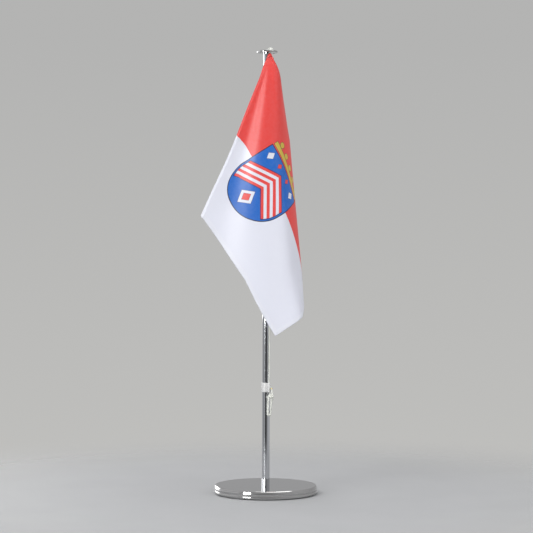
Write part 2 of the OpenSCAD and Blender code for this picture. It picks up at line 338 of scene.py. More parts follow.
CHROME = chrome("chrome_plate", (0.52, 0.515, 0.51), 0.035, 0.03, 1500)
CHROME_POLE = chrome("chrome_pole", (0.55, 0.56, 0.58), 0.05, 0.04, 1500)
NICKEL = chrome("nickel_screw", (0.62, 0.61, 0.60), 0.14, 0.1, 2500)
ZINC = turned_metal("zinc_plate", (0.55, 0.56, 0.57), 0.28, 9000)
BLACK_STEEL = turned_metal("black_spring_steel", (0.16, 0.16, 0.17), 0.38, 7000)
BRASS = turned_metal("turned_brass", (0.62, 0.44, 0.16), 0.24, 12000)
FOAM = foam_material()
CORD = cord_material()
SILICONE = silicone_material()
MELTED = melted_material()


for node_name, mat in (
    ("base_disc", CHROME), ("base_pad", FOAM), ("foot_washer", ZINC),
    ("spring_washer", BLACK_STEEL), ("foot_screw", ZINC), ("foot_insert", BRASS),
    ("pole_tube", CHROME_POLE), ("head_insert", BRASS), ("head_disc", CHROME),
    ("head_screw", NICKEL), ("hoist_sleeve", SILICONE), ("flag_cloth", SILICONE),
):
    slots = NODES[node_name].data.materials
    slots.clear()
    slots.append(mat)


# ---------------------------------------------------------------- cord

CORD_D = 1.5 * MM
CORD_R = CORD_D / MM / 2
CORD_SIDES = 14
CORD_STEP = 0.3
HOLE = (2.8, -6.8)                      # the cord hole in use, as in the part's source
ROUTE = [
    (2.8, -6.8, 459), (2.8, -6.8, 430), (2.8, -6.8, 400), (2.8, -6.8, 370),
    (2.8, -6.8, 340), (2.8, -6.8, 310), (2.8, -6.8, 300), (2.8, -6.6, 290),
    (2.9, -6.0, 278), (3.0, -5.1, 268), (3.1, -4.3, 258), (3.2, -3.8, 246),
    (3.2, -3.8, 220), (3.2, -3.8, 190), (3.2, -3.8, 160), (3.2, -3.8, 130),
    (3.2, -3.8, 106),
]
HANK_TURNS = 5
HANK_PITCH = 1.52                       # from one turn to the next, front to back
HANK_STEPS = 60                         # points in one turn
HANK_GAP = 0.2                          # from the hank's box to the turns, above and below
HANK_BACK = 0.9                         # from its box to the hindmost turn's middle
FOOT_R = 1.3                            # bend of every turn at its foot
# for each turn: the bend at its head, its lean, its shift to the right, and how much shorter it is
HANK_HEADS = (2.7, 1.6, 2.3, 1.8, 1.5)
HANK_LEANS = (0.09, 0.05, 0.09, 0.07, 0.05)
HANK_SHIFTS = (-0.3, -0.2, 0.0, -0.1, -0.2)
HANK_SHORTS = (0.6, 1.5, 0.0, 1.6, 3.0)
# the wrap round the hank's neck
NECK_DOWN = 4.4                         # its height, down from the hank's top
WRAP_RX, WRAP_RY = 3.35, 4.4            # its half widths, across and front to back
WRAP_SHIFT = 0.25                       # its middle, to the right of the hank's
WRAP_RISE = 1.62                        # in one turn
WRAP_TUCK = 0.9                         # how far its start lies under its next pass


def loop_point(share, head_r, tall):
    """A point on a long loop, clockwise from its top: a round head over a smaller round foot."""
    outline = []
    head = (head_r, tall - head_r)
    for radius, middle, first, last in (
        (*head, 90, 0), (FOOT_R, FOOT_R - tall, 0, -180), (*head, 180, 90),
    ):
        a = np.radians(np.arange(first, last - 1, -10))
        outline.append(np.stack([radius * np.cos(a), middle + radius * np.sin(a)], 1))
    outline = np.vstack(outline)
    s = along(outline)
    return [np.interp(share * s[-1], s, outline[:, k]) for k in range(2)]


def hank_route():
    """The turns of the hank: long narrow loops, one before the other, leaning a little apart."""
    low, high = (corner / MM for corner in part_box("cord_hank"))
    middle = (low + high) / 2
    half_height = (high[2] - low[2]) / 2 - CORD_R - HANK_GAP
    back = high[1] - HANK_BACK
    turns = np.arange(HANK_TURNS) + 0.5
    points = []
    # the cord comes in and goes out on the right, where a turn already runs down
    for count in range(3, HANK_TURNS * HANK_STEPS + 4):
        t = count / HANK_STEPS
        rows = (HANK_HEADS, HANK_LEANS, HANK_SHIFTS, HANK_SHORTS)
        head_r, lean, shift, short = (np.interp(t, turns, row) for row in rows)
        x, z = loop_point(t % 1, head_r, half_height - short / 2)
        points.append((middle[0] + x + shift + lean * z, back - t * HANK_PITCH,
                       middle[2] + z - lean * x))
    return points, middle, back


def bead_centre():
    """The middle of the cord's sealed end, in millimetres."""
    low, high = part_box("cord_end_bead")
    return np.array([(low[0] + high[0]) / 2, (low[1] + high[1]) / 2, high[2] - 0.95 * MM]) / MM


def cord_line():
    """The whole cord's centreline in millimetres, from the knot to the sealed end."""
    turns, middle, back = hank_route()
    front = back - HANK_TURNS * HANK_PITCH
    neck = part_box("cord_hank")[1][2] / MM - NECK_DOWN
    wrap = []
    for k in range(15):
        a = math.radians(30 * k - 60)
        under = np.interp(k, [0, 4], [WRAP_TUCK, 0.0])
        wrap.append((middle[0] + WRAP_SHIFT + (WRAP_RX - under) * math.cos(a),
                     (back + front) / 2 + (WRAP_RY - under) * math.sin(a),
                     neck - 0.4 + WRAP_RISE * k / 12))
    tail = [bead_centre() + offset
            for offset in ((0.8, -1.2, -5.8), (0.7, -0.6, -3.2), (0.1, 0, -0.3))]
    line = smooth_line([*ROUTE, *turns, *wrap, *tail], CORD_STEP)
    for _ in range(14):
        line[1:-1] = (line[:-2] + 2 * line[1:-1] + line[2:]) / 4
    return smooth_line(np.vstack([line[:-3:3], line[-1:]]), CORD_STEP)


PLAIT_PITCH = 5.2
PLAIT_CORE, PLAIT_RISE = 0.93, 0.055    # shares of the cord's radius


def plait(s, angle):
    """Radius of the plaited cord in millimetres: strands cross in both directions round a core."""
    turn = 2 * math.pi * s / PLAIT_PITCH
    one = np.abs(np.sin(2 * (angle + turn)))
    other = np.abs(np.sin(2 * (angle - turn)))
    return CORD_R * (PLAIT_CORE + PLAIT_RISE * one + PLAIT_RISE * other)


def add_painted_strand_shade(piece, values):
    """How deep each point lies between the strands, from 0 to 1, which the cord's material paints
    as shade.
    """
    attribute = piece.data.attributes.new("painted_strand_shade", "FLOAT", "POINT")
    attribute.data.foreach_set("value", np.clip(values, 0, 1).astype(np.float32))


def make_cord():
    """The plaited cord from end to end, and its centreline in millimetres."""
    line = cord_line()
    points, faces = tube_mesh(line, plait, CORD_SIDES)
    piece = mesh_object("flag_cord_plaited", points * MM, faces, CORD)
    side = np.arange(CORD_SIDES) * 2 * math.pi / CORD_SIDES
    # painted shade: the lower a point lies between the strands, the darker its colour
    height = plait(along(line)[:, None], side[None, :]) / CORD_R - PLAIT_CORE
    painted_shade_depth = 1 - height / (2 * PLAIT_RISE)
    add_painted_strand_shade(piece, np.concatenate([painted_shade_depth.ravel() * 0.9, [0, 0]]))
    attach(piece, "pole")
    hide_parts("flag_cord", "cord_hank")
    return piece, line


def make_knot():
    """The stopper knot on the head disc: the cord coils round itself and crosses over the top."""
    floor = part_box("head_disc")[1][2] / MM + 0.72       # the lowest coil's middle
    middle = (HOLE[0] + 0.8, HOLE[1])
    line = [(HOLE[0], HOLE[1], floor - 1.2), (HOLE[0] + 0.1, HOLE[1], floor + 0.3)]
    for k in range(2, 22):
        a = math.radians(150 + 36 * k)
        r = 1.62 - 0.012 * k
        rise = 0.75 * np.clip((k - 4) / 14, 0, 1)
        line.append((middle[0] + 1.12 * r * math.cos(a), middle[1] + r * math.sin(a), floor + rise))
    for x, y, z in ((0.5, 0.5, 1.2), (-0.7, -0.3, 1.25), (-2.0, -1.3, 0.9), (-2.5, -2.2, 0.2)):
        line.append((middle[0] + x, middle[1] + y, floor + z))
    path = smooth_line(line, 0.25)
    points, faces = tube_mesh(path, plait, CORD_SIDES)
    piece = mesh_object("knot_on_head_disc", points * MM, faces, CORD)
    # painted shade: the whole knot gets an even share of the darker grey between strands
    add_painted_strand_shade(piece, np.full(len(piece.data.vertices), 0.3))
    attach(piece, "pole")
    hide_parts("top_knot")
    return piece


def make_bead():
    """The cord's heat-sealed end: a small yellowed blob on the end of its tail."""
    centre = bead_centre()
    rows, columns = 14, 20
    points = []
    for i in range(rows):
        a = math.pi * i / (rows - 1)
        for j in range(columns):
            b = 2 * math.pi * j / columns
            r = 0.98 * (1 + 0.07 * math.sin(3 * b + 2 * a) + 0.05 * math.sin(5 * a - b))
            way = np.array([math.sin(a) * math.cos(b), math.sin(a) * math.sin(b),
                            1.08 * math.cos(a)])
            points.append(centre + r * way)
    faces = grid_faces(rows, columns, wrap=True)
    piece = mesh_object("sealed_cord_end", np.array(points) * MM, faces, MELTED)
    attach(piece, "pole")
    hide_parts("cord_end_bead")
    return piece


def make_ring():
    """The soft sleeve ring: it grips the pole and has a lobe for the cord, with rounded rims."""
    low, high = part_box("cord_ring")
    bottom, top = low[2] / MM, high[2] / MM
    pole_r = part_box("pole_tube")[1][0] / MM
    bore, wall = pole_r + 0.09, 0.8
    lobe = np.array(ROUTE[-1][:2])                      # round the cord
    lobe_r = CORD_R + 0.2
    sharp = 14.0                                        # how sharply the lobe joins the ring
    columns = 96
    angles = np.arange(columns) * 2 * math.pi / columns

    def outline(grow):
        """Distance from the pole's axis to the ring's skin at each angle."""
        heading = np.stack([np.cos(angles), np.sin(angles)], 1)
        ahead = heading @ lobe
        miss = np.abs(heading[:, 0] * lobe[1] - heading[:, 1] * lobe[0])
        reach = lobe_r + grow
        far_side = ahead + np.sqrt(np.maximum(reach**2 - miss**2, 0))
        out = np.where((miss < reach) & (ahead > 0), far_side, 0)
        plain = np.full(columns, bore + grow)
        return np.log(np.exp(sharp * (plain - bore)) + np.exp(sharp * (out - bore))) / sharp + bore

    tall = top - bottom
    profile = [(0.0, 0.35), (0.0, 0.0), (wall * 0.25, -0.12), (wall * 0.75, -0.1), (wall, 0.3),
               (wall + 0.05, 0.3 * tall), (wall + 0.02, 0.5 * tall), (wall + 0.05, 0.7 * tall),
               (wall, tall - 0.3), (wall * 0.75, tall + 0.1), (wall * 0.25, tall + 0.12),
               (0.0, tall), (0.0, tall - 0.4), (0.0, tall / 2)]
    rings = []
    for grow, z in profile:
        r = outline(grow)
        x, y = r * np.cos(angles), r * np.sin(angles)
        skew = (z / tall) * -0.11 * (x + pole_r)
        level = np.clip(bottom + z + skew, bottom - 0.1, top + 0.15)
        rings.append(np.stack([x, y, level], 1))
    points = np.vstack(rings)
    faces = grid_faces(len(profile), columns, wrap=True)
    last = (len(profile) - 1) * columns
    faces += [(last + j, last + (j + 1) % columns, (j + 1) % columns, j) for j in range(columns)]
    piece = mesh_object("sleeve_ring", points * MM, faces, SILICONE)
    rounding = piece.modifiers.new("round", "SUBSURF")
    rounding.levels = rounding.render_levels = 1
    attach(piece, "ring")
    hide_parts("cord_ring")
    return piece


cord_piece, cord_path = make_cord()
knot = make_knot()
bead = make_bead()
make_ring()


# ---------------------------------------------------------------- flag: its folded shape

HOIST, FLY = 150.0, 250.0
CORNER = np.array([HOLE[0], HOLE[1], 454.4])
LEFT_FOLD = math.radians(34.6)          # flat angle of the left fold, from the hoist
TURN = 57.8                             # flat angle that hangs straight down
ROLL_LEAN = math.radians(5.5)
# how far the right-hand roll has turned, in degrees, at distances across it
FAR_ROLL = ((40, 100), (55, 138), (70, 172), (90, 205), (120, 240))
ROLL_TURNS = (
    ((0, 0), (4, 25), (10, 68), (14, 86), (25, 97), (40, 112), (60, 150), (120, 240)),  # corner
    ((-10, 0), (4, 48), (12, 62), (20, 70), (28, 82), *FAR_ROLL),                       # below it
    ((-4, 0), (6, 34), (12, 76), (16, 82), (28, 86), *FAR_ROLL),                        # end
)
# past the pole the back layer goes flat for so many millimetres, or this share of its width
POLE_PASS, PASS_SHARE = 9.0, 0.8
FOLD_GAP = 5                            # between the layers at the left fold
WAVES = ((0.22, -20.0, 3.5), (-0.44, -11.0, 5.0), (0.14, -1.0, 5.0))   # slope, angle and width
SAG = 6.0                               # how far the cloth sinks out of its folds
FOLD_IN, EDGE_IN = 2.4, 5.0             # how far the left fold and the free edge bend inwards
TOP_OUT = 1.6                           # how far the fold stands out by the corner
SLIP = 4.5                              # how far the cloth slips along the fly in the fold


def roll_path(n, t):
    """Across and behind, at a distance n across the roll and t along it."""
    start, step = -40, 0.5
    steps = np.arange(start, 120.01, step)
    paths = []
    for turns in ROLL_TURNS:
        angle = np.radians(np.interp(steps, *zip(*turns)))
        flat, behind = (np.interp(n, steps, (np.cumsum(f(angle)) - f(angle) / 2) * step + first)
                        for f, first in ((np.cos, start), (np.sin, 0)))
        paths.append(np.array([np.where(n < start + 1, n, flat), behind]))
    near = np.interp(t, [25, 90], [1, 0])
    end = np.interp(t, [230, 275], [0, 1])
    return near * paths[0] + (1 - near - end) * paths[1] + end * paths[2]


def wave(angle):
    """How far the front layer swells backwards, per millimetre from the corner, at an angle."""
    total = np.zeros_like(angle)
    for slope, middle, width in WAVES:
        total += slope * math.radians(width) * math.sqrt(math.pi) / 2 * (
            np.vectorize(math.erf)((angle - middle) / width) + 1)
    return total


def bell(x, middle, width):
    """A smooth bump of height 1."""
    return np.exp(-((x - middle) / width) ** 2)


def folded(u, v):
    """Where the cloth hangs, in millimetres: u runs along the fly and v down from the top edge."""
    u = u - SLIP * np.exp(-((v - 116) / 26) ** 2 - ((u - 120) / 55) ** 2)
    r = np.maximum(np.hypot(u, v), 1e-6)
    theta = np.arctan2(u, v)
    # the back layer, from the hoist to the left fold: flat past the pole, then bellied backwards
    gap = FOLD_GAP * (1 - np.exp(-r / 12))
    long = r * LEFT_FOLD - math.pi * gap / 4
    wide = r * math.sin(math.radians(TURN) - LEFT_FOLD) - gap / 2
    held = np.minimum(POLE_PASS, PASS_SHARE * wide)
    across = wide - held
    w = r * theta
    f = np.clip((w - held) / np.maximum(long - held, 1e-6), 0, 1)
    deep = 0.64 * across * np.sqrt(np.maximum(0, (long - held) / np.maximum(across, 1e-6) - 1))
    x = np.where(w < held, -w, -held - across * f)
    y = deep * np.sin(math.pi * f) ** 2
    # the left fold itself, half a turn to the front
    turn = np.clip((w - long) / (math.pi * gap / 2), 0, 1) * math.pi
    x = np.where(w > long, -wide - gap / 2 * np.sin(turn), x)
    y = np.where(w > long, -gap / 2 * (1 - np.cos(turn)), y)
    z = -np.sqrt(np.maximum(0, r * r - x * x - y * y))
    # the front layer, which swells a little and rolls backwards on its right
    lean = theta - math.radians(TURN) - ROLL_LEAN
    n, t = r * np.sin(lean), r * np.cos(lean)
    flat, behind = roll_path(n, t)
    angle = np.degrees(theta) - TURN
    fade = np.interp(r, [0, 30, 100, 150, 280], [0.5, 1.0, 0.85, 0.5, 0.3])
    swell = r * fade * (wave(np.minimum(angle, 5.5)) - wave(np.full_like(angle, -23.2)))
    front = w > long + math.pi * gap / 2
    x = np.where(front, flat * math.cos(ROLL_LEAN) + t * math.sin(ROLL_LEAN), x)
    y = np.where(front, behind - gap + swell, y)
    z = np.where(front, -(t * math.cos(ROLL_LEAN) - flat * math.sin(ROLL_LEAN)), z)
    # the cloth sags a little out of its folds half way down, and its left side isn't straight
    sag = SAG * bell(r, 140, 80) * np.interp(angle, [-57, -23, -15, 10, 25], [0, 0.1, 0.8, 1, 0.3])
    inward = FOLD_IN * bell(r, 112, 45) * np.interp(angle, [-57, -30, -23, -8], [0, 0.5, 1, 0])
    bowed = EDGE_IN * bell(r, 240, 50) * np.interp(angle, [-20, -14, -7, 0], [0, 0.5, 1, 0])
    corner = TOP_OUT * bell(r, 10, 12) * np.interp(angle, [-57, -25, 0], [0, 1, 0])
    x = x - x / r * sag + inward + bowed - corner
    z = z - z / r * sag
    return np.stack([x, y, z], -1) + CORNER


GRID_U, GRID_V = 101, 61
SLACK = 0.2                             # how strongly a thread resists being pushed together
SPEED_KEPT, FALL = 0.9, 0.010           # speed kept in a step, and gained downwards
HOLD = 0.03                             # how strongly the cloth keeps its folded shape


def settle(shape, steps=260, passes=8):
    """How far each point of the cloth moves when it is let hang: its threads keep their length,
    its weight pulls it down, it stays off the pole, and the hoist edge stays on the cord."""
    p = shape.copy()
    before = p.copy()
    du, dv = FLY / (GRID_U - 1), HOIST / (GRID_V - 1)
    pole_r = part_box("pole_tube")[1][0] / MM + 0.45
    pole_top = 456                      # the cloth's corner hangs clear above this

    def pull(a, b, rest, stiff):
        """Brings two points of a thread nearer to its length at rest."""
        d = p[b] - p[a]
        length = np.maximum(np.linalg.norm(d, axis=-1, keepdims=True), 1e-9)
        over = 1 - rest / length
        move = d * (0.5 * stiff * np.where(over > 0, over, SLACK * over))
        p[a] += move
        p[b] -= move

    def straight(axis, rest):
        """Pulls all threads along the fly (0) or the hoist (1), every second link at a time."""
        for start in (0, 1):
            first = np.arange(start, p.shape[axis] - 1, 2)
            if axis == 0:
                pull(np.s_[first, :], np.s_[first + 1, :], rest, 1.0)
            else:
                pull(np.s_[:, first], np.s_[:, first + 1], rest, 1.0)

    def diagonal(rest, stiff):
        """Holds the weave against shear."""
        for start in (0, 1):
            i = np.arange(start, GRID_U - 1, 2)
            pull(np.s_[i, :-1], np.s_[i + 1, 1:], rest, stiff)
            pull(np.s_[i, 1:], np.s_[i + 1, :-1], rest, stiff)

    pinned = np.zeros((GRID_U, GRID_V), bool)
    pinned[0, :] = True
    pinned[:4, :3] = True
    for _ in range(steps):
        speed = (p - before) * SPEED_KEPT
        before = p.copy()
        p += speed
        p[..., 2] -= FALL
        p += (shape - p) * HOLD
        for _ in range(passes):
            straight(0, du)
            straight(1, dv)
            diagonal(math.hypot(du, dv), 0.1)
            p[pinned] = shape[pinned]
            d = np.hypot(p[..., 0], p[..., 1])
            near = (d < pole_r) & (p[..., 2] < pole_top)
            push = np.where(near, pole_r / np.maximum(d, 1e-6), 1.0)
            p[..., 0] *= push
            p[..., 1] *= push
    return broad(p - shape, 60)


def broad(field, passes):
    """Only the broad part of a field over the sheet, without its small wrinkles."""
    for _ in range(passes):
        for axis in (0, 1):
            f = np.moveaxis(field, axis, 0)
            ends = np.concatenate([f[:1], f, f[-1:]])
            field = np.moveaxis((ends[:-2] + 2 * f + ends[2:]) / 4, 0, axis)
    return field


def finer(grid):
    """The grid with a point between each two, on Catmull-Rom curves."""
    for axis in (0, 1):
        g = np.moveaxis(grid, axis, 0)
        ends = np.concatenate([2 * g[:1] - g[1:2], g, 2 * g[-1:] - g[-2:-1]])
        between = (-ends[:-3] + 9 * ends[1:-2] + 9 * ends[2:-1] - ends[3:]) / 16
        out = np.empty((2 * len(g) - 1, *g.shape[1:]))
        out[0::2], out[1::2] = g, between
        grid = np.moveaxis(out, 0, axis)
    return grid


def sheet_normals(grid):
    """A unit vector off the cloth at each of its points."""
    n = np.cross(np.gradient(grid, axis=0), np.gradient(grid, axis=1))
    return n / np.maximum(np.linalg.norm(n, axis=-1, keepdims=True), 1e-9)


def flat_grid(count_u, count_v):
    """Even places over the flat sheet: one grid of u and one of v."""
    return np.meshgrid(np.linspace(0, FLY, count_u), np.linspace(0, HOIST, count_v), indexing="ij")


settled = settle(folded(*flat_grid(GRID_U, GRID_V)))
settled = finer(finer(settled))
FINE_U, FINE_V = settled.shape[:2]
cloth = folded(*flat_grid(FINE_U, FINE_V)) + settled
cloth_normals = sheet_normals(cloth)


# ---------------------------------------------------------------- flag: print and cloth material

RED = (0.77, 0.058, 0.050)
WHITE = (0.74, 0.755, 0.83)
BLUE = (0.006, 0.135, 0.540)
NAVY = (0.004, 0.010, 0.040)
GOLD = (0.62, 0.47, 0.06)
EMBLEM_U = 117.5 * MM                   # the shield's middle along the fly
SHIELD_R = 34 * MM
SHIELD_TOP = 26 * MM                    # above the line between the stripes
SHIELD_CENTRE = -10.5 * MM
HEM = 4.5 * MM
OUTLINE = 0.35 * MM                     # half of a printed dark line


def flat_place(tree):
    """The place on the flat sheet in metres: u along the fly, v down from the top edge."""
    u, v, _ = coordinates(tree, node(tree, "ShaderNodeUVMap", uv_map="flat").outputs[0])
    return u * (FLY * MM), v * (HOIST * MM)


def print_colour(tree, u, v):
    """The printed colours of the flag, worked out from the place on the flat sheet in metres."""
    x = u - EMBLEM_U
    y = v * -1.0 + HOIST * MM / 2
    ground = mix(tree, y.inside(), RED, WHITE)
    below = (y - SHIELD_CENTRE).low(0.0)
    shield = ((x * x + below * below).root() - SHIELD_R).high(y - SHIELD_TOP)
    blue = mix(tree, (shield + 0.0009).inside(), NAVY, BLUE)
    # a striped chevron band between two rows of plain lozenges: a pattern of no one's arms
    middle, half_band = 3 * MM, 13 * MM
    arch = y + abs(x) * 0.62
    chevron = abs(arch - middle) - half_band
    stripes = ((arch - middle + half_band) / (2 * half_band / 7)).wrap(2.0)
    striped = mix(tree, (stripes - 1.0).inside(0.03), WHITE, RED)
    chevron = chevron.high(shield + 2.6 * MM)
    charge = mix(tree, (abs(chevron) - OUTLINE).inside(), blue, NAVY)
    charge = mix(tree, (chevron + OUTLINE).inside(), charge, striped)

    def lozenge(colour, at_x, at_y, half, fill):
        shape = abs(x - at_x * MM) * 1.25 + abs(y - at_y * MM) - half * MM
        colour = mix(tree, (shape - OUTLINE).inside(), colour, NAVY)
        return mix(tree, shape.inside(), colour, fill)

    for at_x, at_y, half, fill in (
        (0, -27, 10.5, WHITE), (0, -27, 5.5, RED), (-24, 17.5, 5.0, WHITE),
        (24, 17.5, 5.0, WHITE), (-9, 20, 3.4, RED), (9, 20, 3.4, RED),
    ):
        charge = lozenge(charge, at_x, at_y, half, fill)
    colour = mix(tree, shield.inside(), ground, charge)
    # a plain gold bar with round studs above the shield
    bar = (abs(x) - 33 * MM).high(abs(y - SHIELD_TOP - 4.0 * MM) - 2.4 * MM)
    pitch = 13 * MM
    along_bar = (x + 6.5 * pitch).wrap(pitch) - pitch / 2
    lift = y - SHIELD_TOP - 10.2 * MM
    studs = ((along_bar * along_bar + lift * lift).root() - 3.3 * MM).high(abs(x) - 32.5 * MM)
    gold = bar.low(studs)
    colour = mix(tree, (gold - 0.4 * MM).inside(), colour, NAVY)
    return mix(tree, gold.inside(), colour, GOLD)


def satin_material():
    """Satin polyester: a print, a fine twill weave, a broad shine and a little light through it,
    with painted shade in the weave's hollows and painted light where the hem doubles the cloth.
    """
    made, tree, shader, _ = material("satin_print")
    u, v = flat_place(tree)
    flat = node(tree, "ShaderNodeCombineXYZ", {0: u, 1: v}).outputs[0]
    colour = print_colour(tree, u, v)
    hem = (u * -1.0 + (FLY * MM - HEM)).low(v * -1.0 + (HOIST * MM - HEM))
    painted_hem_light = hem.inside(0.0002)
    slub = noise(tree, flat, 260, 4, 0.6)
    colour = mix(tree, remap(tree, slub, 0.35, 0.7, 0.0, 0.03), colour, (0.9, 0.9, 0.92))
    # painted light: a little paler where the hem doubles the cloth, for the light its second layer
    # sends back
    colour = mix(tree, painted_hem_light * 0.12, colour, (0.95, 0.95, 0.97))
    warp = ((u + v * 0.35) * (2 * math.pi / (0.36 * MM))).sine()
    weft = ((v - u * 0.15) * (2 * math.pi / (0.42 * MM))).sine()
    weave = warp * 0.6 + weft * 0.4
    # painted shade: a little darker and duller in the hollows of the weave, between the threads
    colour = mix(tree, remap(tree, weave, -1.0, 0.2, 0.05, 0.0), colour, (0.42, 0.30, 0.34))
    set_shader(tree, shader, Base_Color=colour, Sheen_Weight=0.08, Sheen_Roughness=0.35,
               Specular_IOR_Level=0.55, Roughness=remap(tree, slub, 0.3, 0.7, 0.38, 0.44),
               Normal=bump(tree, weave, 0.00003, 0.3))
    glow = node(tree, "ShaderNodeBsdfTranslucent", {"Color": colour})
    blend = node(tree, "ShaderNodeMixShader", {0: 0.22, 1: shader.outputs[0], 2: glow.outputs[0]})
    output = next(n for n in tree.nodes if n.type == "OUTPUT_MATERIAL")
    tree.links.new(blend.outputs[0], output.inputs["Surface"])
    return made


def thread_material():
    """Sewing thread, in nearly the colour of the cloth under it."""
    made, tree, shader, where = material("sewing_thread")
    fibre = noise(tree, where, 6000, 2)
    plain = mix(tree, fibre, (0.86, 0.86, 0.87), (0.70, 0.70, 0.72))
    set_shader(tree, shader, Sheen_Weight=0.3,
               Base_Color=mix(tree, 0.12, print_colour(tree, *flat_place(tree)), plain),
               Roughness=remap(tree, fibre, 0.3, 0.7, 0.4, 0.6))
    return made


SATIN = satin_material()
THREAD = thread_material()


# ---------------------------------------------------------------- flag: pieces

def at_flat(u, v, lift=0.0):
    """Points on the hung cloth for flat places, lifted off it to the printed side."""
    i = np.clip(np.asarray(u, float) / FLY * (FINE_U - 1), 0, FINE_U - 1.001)
    j = np.clip(np.asarray(v, float) / HOIST * (FINE_V - 1), 0, FINE_V - 1.001)
    a, b = i.astype(int), j.astype(int)
    s, t = (i - a)[..., None], (j - b)[..., None]

    def sample(g):
        return (g[a, b] * (1 - s) * (1 - t) + g[a + 1, b] * s * (1 - t)
                + g[a, b + 1] * (1 - s) * t + g[a + 1, b + 1] * s * t)

    return sample(cloth) - lift * OUT * sample(cloth_normals)


def add_uv(piece, u, v):
    """Flat coordinates from 0 to 1 on each corner, from each point's place on the flat sheet."""
    layer = piece.data.uv_layers.new(name="flat")
    index = np.zeros(len(piece.data.loops), np.int32)
    piece.data.loops.foreach_get("vertex_index", index)
    flat = np.stack([np.ravel(u)[index] / FLY, np.ravel(v)[index] / HOIST], 1)
    layer.data.foreach_set("uv", flat.ravel())


def thicken(piece, thick):
    """Gives a piece of cloth its thickness in millimetres, half of it to each side."""
    solid = piece.modifiers.new("thickness", "SOLIDIFY")
    solid.thickness = thick * MM
    solid.offset = 0
    depsgraph = bpy.context.evaluated_depsgraph_get()
    mesh = bpy.data.meshes.new_from_object(piece.evaluated_get(depsgraph),
                                           preserve_all_data_layers=True, depsgraph=depsgraph)
    piece.modifiers.clear()
    piece.data = mesh


def patch(name, u_values, v_values, lift, thick):
    """A piece of cloth over part of the flat sheet, lifted off it to the printed side."""
    u, v = np.meshgrid(u_values, v_values, indexing="ij")
    points = at_flat(u, v)
    points = points + (at_flat(u, v, 1.0) - points) * lift
    piece = mesh_object(name, points.reshape(-1, 3) * MM, grid_faces(*u.shape), SATIN)
    add_uv(piece, u, v)
    thicken(piece, thick)
    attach(piece, "flag")
    return piece


def printed_side():
    """+1 or -1, so that the printed side of the front layer faces the front."""
    middle = cloth_normals[int(0.5 * FINE_U), int(0.7 * FINE_V)]
    return 1.0 if middle[1] > 0 else -1.0


OUT = printed_side()
CLOTH_T = 0.22

flag = patch("satin_flag", np.linspace(0, FLY, 281), np.linspace(0, HOIST, 169), 0.0, CLOTH_T)
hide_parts("flag_cloth")

# the turned hems lie on the far side
HEM_T = 0.2
along_fly = np.arange(6, FLY + 0.01, 1.25)
along_hoist = np.arange(0, HOIST + 0.01, 1.25)
hems = [
    patch("hem_bottom", along_fly, np.linspace(HOIST - 4.5, HOIST - 0.1, 5), -0.26, HEM_T),
    patch("hem_fly", np.linspace(FLY - 4.5, FLY - 0.1, 5), along_hoist, -0.27, HEM_T),
    patch("hem_top", along_fly, np.linspace(0.1, 4.0, 5), -0.26, HEM_T),
]


def make_sleeve():
    """The hoist hem: a strip folded round the cord and sewn to the cloth behind it."""
    v = np.linspace(0, HOIST, 90)
    above = np.array([0, 0, 1.3])       # the folded top of the hem, above the cloth's own corner
    # places across the hem, from the seam behind the cloth round the cord: along the fly, behind
    across = [(7.6, 0.16), (6.6, 0.18), (5.6, 0.3), (4.4, 0.75), (3.0, 1.12), (1.6, 1.22),
              (0.3, 1.18), (-0.75, 0.82), (-1.18, 0.0), (-0.75, -0.82), (0.3, -1.18),
              (1.6, -1.12), (2.8, -0.72), (3.8, -0.25)]
    rows = []
    for u, lift in across:
        places = np.full_like(v, max(u, 0.0))
        base = at_flat(places, v)
        out = at_flat(places, v, -1.0) - base
        side = at_flat(np.full_like(v, 1.25), v) - at_flat(np.zeros_like(v), v)
        side /= np.linalg.norm(side, axis=1)[:, None]
        fold_over = above * np.maximum(0, 1 - v / 8)[:, None]
        rows.append(base + out * lift + side * min(u, 0.0) + fold_over)
    points = np.vstack(rows)
    piece = mesh_object("hoist_hem", points * MM, grid_faces(len(across), len(v)), SATIN)
    u_values = np.repeat([max(u, 0.0) for u, _ in across], len(v))
    add_uv(piece, u_values, np.tile(v, len(across)))
    thicken(piece, HEM_T)
    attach(piece, "flag")
    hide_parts("hoist_sleeve")
    return piece


def make_stitches():
    """Lockstitches along the hems and the hoist sleeve, on both sides of the cloth."""
    pitch, length, thick = 2.4, 1.75, 0.17
    s = np.linspace(-length / 2, length / 2, 5)         # places along a stitch
    arch = np.array([-0.08, 0.05, 0.09, 0.05, -0.08])
    # each seam's direction, along the fly or the hoist, and the middles of its stitches
    seams = [
        ((1, 0), [(u, HOIST - 3.7) for u in np.arange(7, FLY - 1, pitch)]),
        ((0, 1), [(FLY - 3.7, v) for v in np.arange(1.5, HOIST - 1, pitch)]),
        ((1, 0), [(u, 3.2) for u in np.arange(7, FLY - 1, pitch)]),
        ((0, 1), [(6.2, v) for v in np.arange(2, HOIST - 1, pitch)]),
    ]
    points, faces, flat = [], [], []
    for (su, sv), line in seams:
        for side, base in ((1, CLOTH_T / 2), (-1, CLOTH_T / 2 + 0.26)):
            places = np.array(line) + (side < 0) * np.array([su, sv]) * pitch / 2
            for u, v in places:
                us, vs = u + s * su, v + s * sv
                middle = at_flat(us, vs)
                lifted = at_flat(us, vs, 1.0) - middle
                line3 = middle + lifted * (side * (base + arch))[:, None]
                tube, tube_faces = tube_mesh(line3, lambda d, a: np.full((5, 6), thick / 2), 6)
                start = len(flat)
                points.append(tube)
                flat += [(u, v)] * len(tube)
                faces += [tuple(start + k for k in f) for f in tube_faces]
    piece = mesh_object("hem_stitches", np.vstack(points) * MM, faces, THREAD)
    add_uv(piece, *np.array(flat).T)
    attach(piece, "flag")
    return piece


sleeve = make_sleeve()
stitches = make_stitches()


# ---------------------------------------------------------------- floor, backdrop and light

